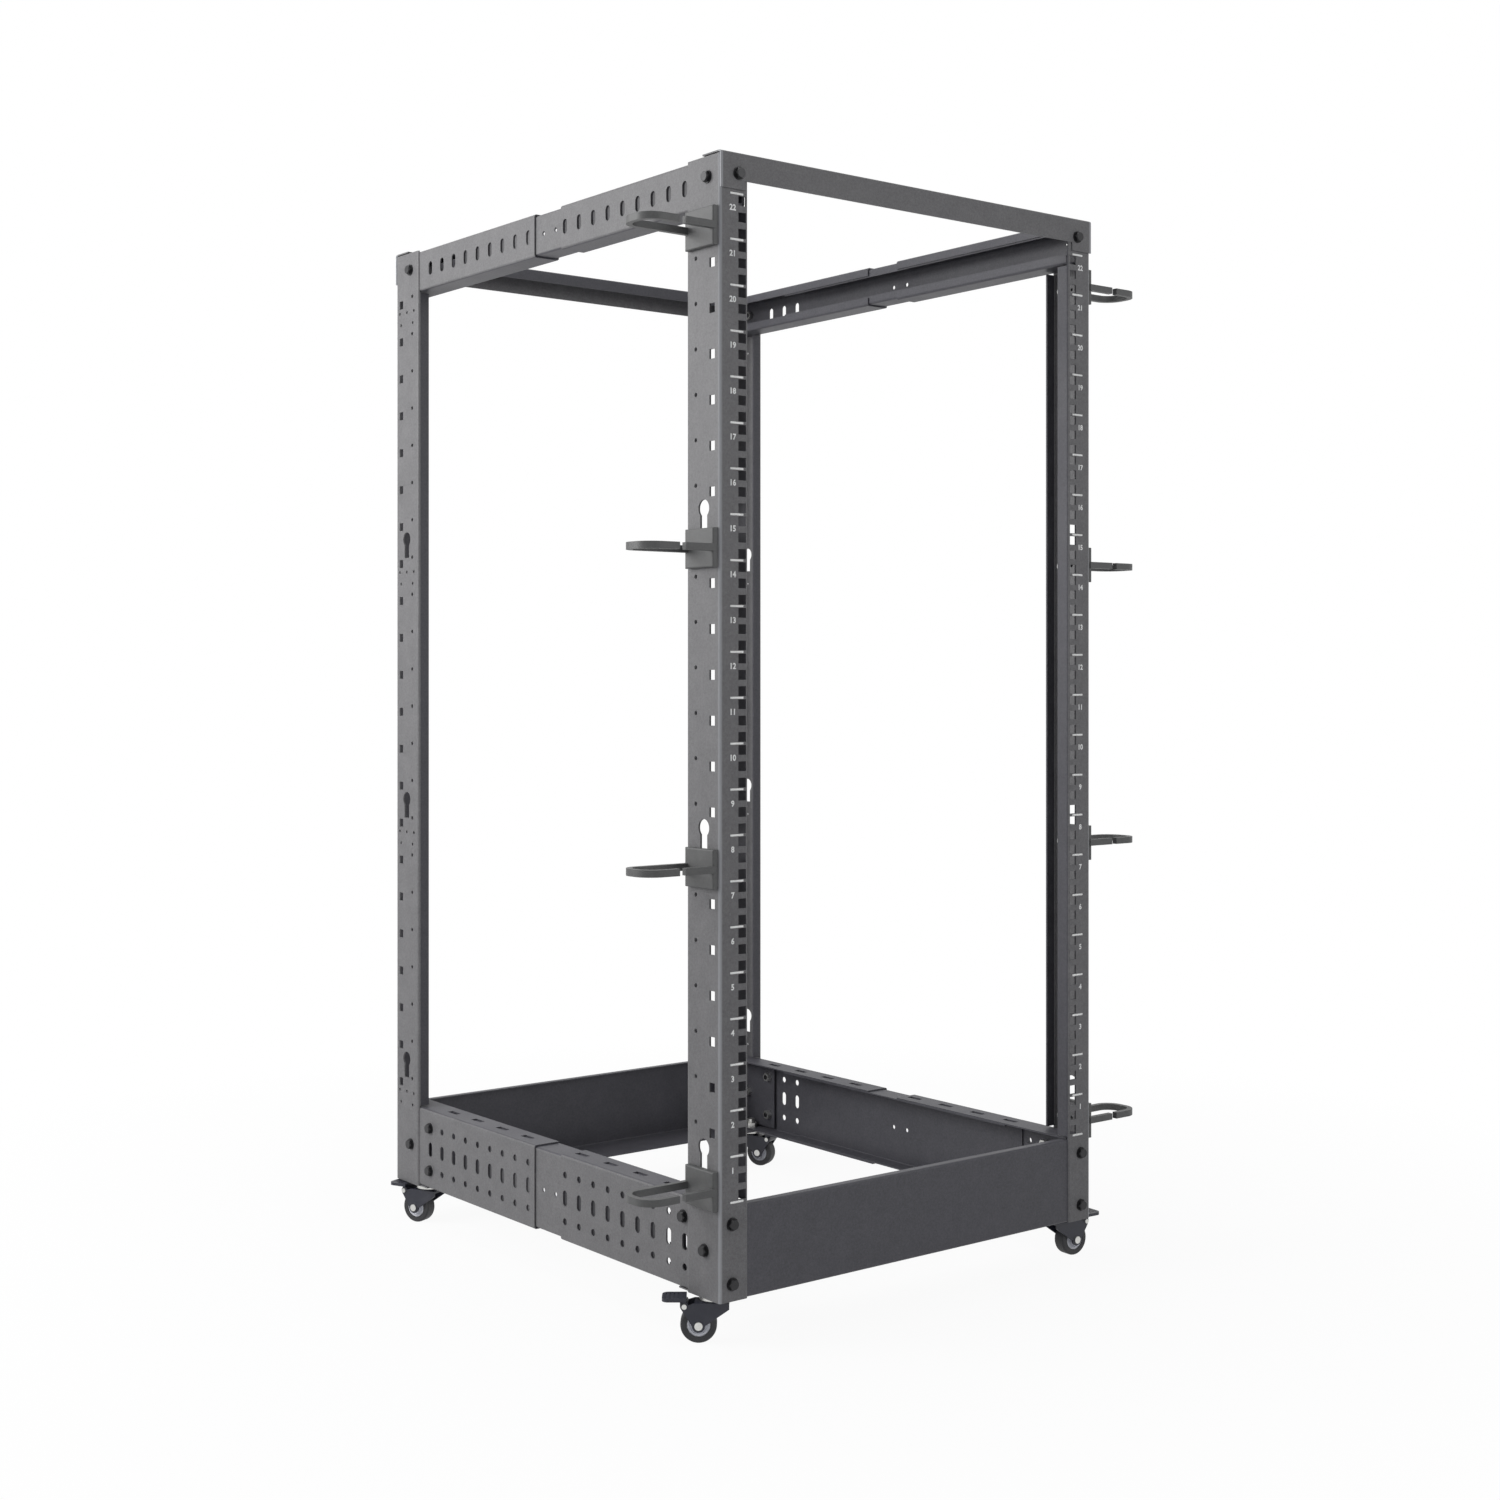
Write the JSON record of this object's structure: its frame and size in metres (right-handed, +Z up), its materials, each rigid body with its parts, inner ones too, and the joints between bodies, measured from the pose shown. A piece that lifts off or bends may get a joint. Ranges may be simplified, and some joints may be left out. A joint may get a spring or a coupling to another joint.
{
  "type": "open frame server rack",
  "caption": "Four-post open-frame rack for 19 inch equipment, with telescoping side rails, cable rings on the front posts and braked swivel casters.",
  "frame": {"origin": "on the floor at the middle of the rack's width and depth", "axes": "+Z up, -Y the front with the cable rings, +X to the right seen from the front"},
  "size_m": [0.69, 0.658, 1.16],
  "materials": {
    "powder_coat": "fine textured powder coat, dark grey",
    "ring_plastic": "moulded, matte, dark grey",
    "black_hardware": "black oxide bolts",
    "zinc_hardware": "zinc plated nuts and spacers",
    "caster_metal": "blue-black coated steel",
    "caster_tyre": "black polyurethane tread",
    "caster_core": "pale grey nylon",
    "mark_paint": "light grey ink of the unit marks"
  },
  "bodies": {
    "frame_rear": {"post_rear_left": "powder_coat", "post_rear_right": "powder_coat", "top_beam_rear": "powder_coat", "bottom_panel_rear": "powder_coat", "top_rail_rear_left": "powder_coat", "bottom_rail_rear_left": "powder_coat", "caster_stem_rear_left": "zinc_hardware", "top_rail_rear_right": "powder_coat", "bottom_rail_rear_right": "powder_coat", "caster_stem_rear_right": "zinc_hardware", "rear_bolts": "black_hardware", "rear_nuts": "zinc_hardware", "rear_spacers": "zinc_hardware"},
    "frame_front": {"post_front_left": "powder_coat", "post_front_right": "powder_coat", "top_beam_front": "powder_coat", "bottom_panel_front": "powder_coat", "top_rail_front_left": "powder_coat", "bottom_rail_front_left": "powder_coat", "caster_stem_front_left": "zinc_hardware", "top_rail_front_right": "powder_coat", "bottom_rail_front_right": "powder_coat", "caster_stem_front_right": "zinc_hardware", "front_bolts": "black_hardware", "front_nuts": "zinc_hardware", "front_spacers": "zinc_hardware", "top_rail_middle_left": "powder_coat", "top_rail_middle_right": "powder_coat", "bottom_rail_middle_left": "powder_coat", "bottom_rail_middle_right": "powder_coat", "cable_ring_left_1": "ring_plastic", "cable_ring_left_2": "ring_plastic", "cable_ring_left_3": "ring_plastic", "cable_ring_left_4": "ring_plastic", "cable_ring_right_1": "ring_plastic", "cable_ring_right_2": "ring_plastic", "cable_ring_right_3": "ring_plastic", "cable_ring_right_4": "ring_plastic", "ring_screws": "zinc_hardware"},
    "swivel_front_left": {"caster_fork_front_left": "caster_metal", "caster_pins_front_left": "zinc_hardware"},
    "wheel_front_left": {"caster_wheel_front_left": "caster_core", "caster_tyre_front_left": "caster_tyre"},
    "pedal_front_left": {"caster_pedal_front_left": "caster_metal"},
    "swivel_front_right": {"caster_fork_front_right": "caster_metal", "caster_pins_front_right": "zinc_hardware"},
    "wheel_front_right": {"caster_wheel_front_right": "caster_core", "caster_tyre_front_right": "caster_tyre"},
    "pedal_front_right": {"caster_pedal_front_right": "caster_metal"},
    "swivel_rear_left": {"caster_fork_rear_left": "caster_metal", "caster_pins_rear_left": "zinc_hardware"},
    "wheel_rear_left": {"caster_wheel_rear_left": "caster_core", "caster_tyre_rear_left": "caster_tyre"},
    "pedal_rear_left": {"caster_pedal_rear_left": "caster_metal"},
    "swivel_rear_right": {"caster_fork_rear_right": "caster_metal", "caster_pins_rear_right": "zinc_hardware"},
    "wheel_rear_right": {"caster_wheel_rear_right": "caster_core", "caster_tyre_rear_right": "caster_tyre"},
    "pedal_rear_right": {"caster_pedal_rear_right": "caster_metal"}
  },
  "joints": [
    {"name": "depth_slide", "type": "slide", "parent": "frame_rear", "child": "frame_front", "axis": [0, -1, 0], "range_m": [-0.05, 0.1]},
    {"name": "swivel_turn_front_left", "type": "hinge", "parent": "frame_front", "child": "swivel_front_left", "pos_m": [-0.243, -0.2925, 0.046], "axis": [0, 0, 1], "continuous": true},
    {"name": "wheel_spin_front_left", "type": "hinge", "parent": "swivel_front_left", "child": "wheel_front_left", "pos_m": [-0.25559, -0.28263, 0.018], "axis": [-0.617, -0.7869, 0], "continuous": true},
    {"name": "pedal_press_front_left", "type": "hinge", "parent": "swivel_front_left", "child": "pedal_front_left", "pos_m": [-0.26661, -0.27399, 0.037], "axis": [-0.617, -0.7869, 0], "range_deg": [0, 18]},
    {"name": "swivel_turn_front_right", "type": "hinge", "parent": "frame_front", "child": "swivel_front_right", "pos_m": [0.243, -0.2925, 0.046], "axis": [0, 0, 1], "continuous": true},
    {"name": "wheel_spin_front_right", "type": "hinge", "parent": "swivel_front_right", "child": "wheel_front_right", "pos_m": [0.25896, -0.29362, 0.018], "axis": [0.0698, 0.9976, 0], "continuous": true},
    {"name": "pedal_press_front_right", "type": "hinge", "parent": "swivel_front_right", "child": "pedal_front_right", "pos_m": [0.27293, -0.29459, 0.037], "axis": [0.0698, 0.9976, 0], "range_deg": [0, 18]},
    {"name": "swivel_turn_rear_left", "type": "hinge", "parent": "frame_rear", "child": "swivel_rear_left", "pos_m": [-0.243, 0.2705, 0.046], "axis": [0, 0, 1], "continuous": true},
    {"name": "wheel_spin_rear_left", "type": "hinge", "parent": "swivel_rear_left", "child": "wheel_rear_left", "pos_m": [-0.24948, 0.28513, 0.018], "axis": [-0.9143, -0.4051, 0], "continuous": true},
    {"name": "pedal_press_rear_left", "type": "hinge", "parent": "swivel_rear_left", "child": "pedal_rear_left", "pos_m": [-0.25515, 0.29793, 0.037], "axis": [-0.9143, -0.4051, 0], "range_deg": [0, 18]},
    {"name": "swivel_turn_rear_right", "type": "hinge", "parent": "frame_rear", "child": "swivel_rear_right", "pos_m": [0.243, 0.2705, 0.046], "axis": [0, 0, 1], "continuous": true},
    {"name": "wheel_spin_rear_right", "type": "hinge", "parent": "swivel_rear_right", "child": "wheel_rear_right", "pos_m": [0.24948, 0.25587, 0.018], "axis": [0.9143, 0.4051, 0], "continuous": true},
    {"name": "pedal_press_rear_right", "type": "hinge", "parent": "swivel_rear_right", "child": "pedal_rear_right", "pos_m": [0.25515, 0.24307, 0.037], "axis": [0.9143, 0.4051, 0], "range_deg": [0, 18]}
  ]
}
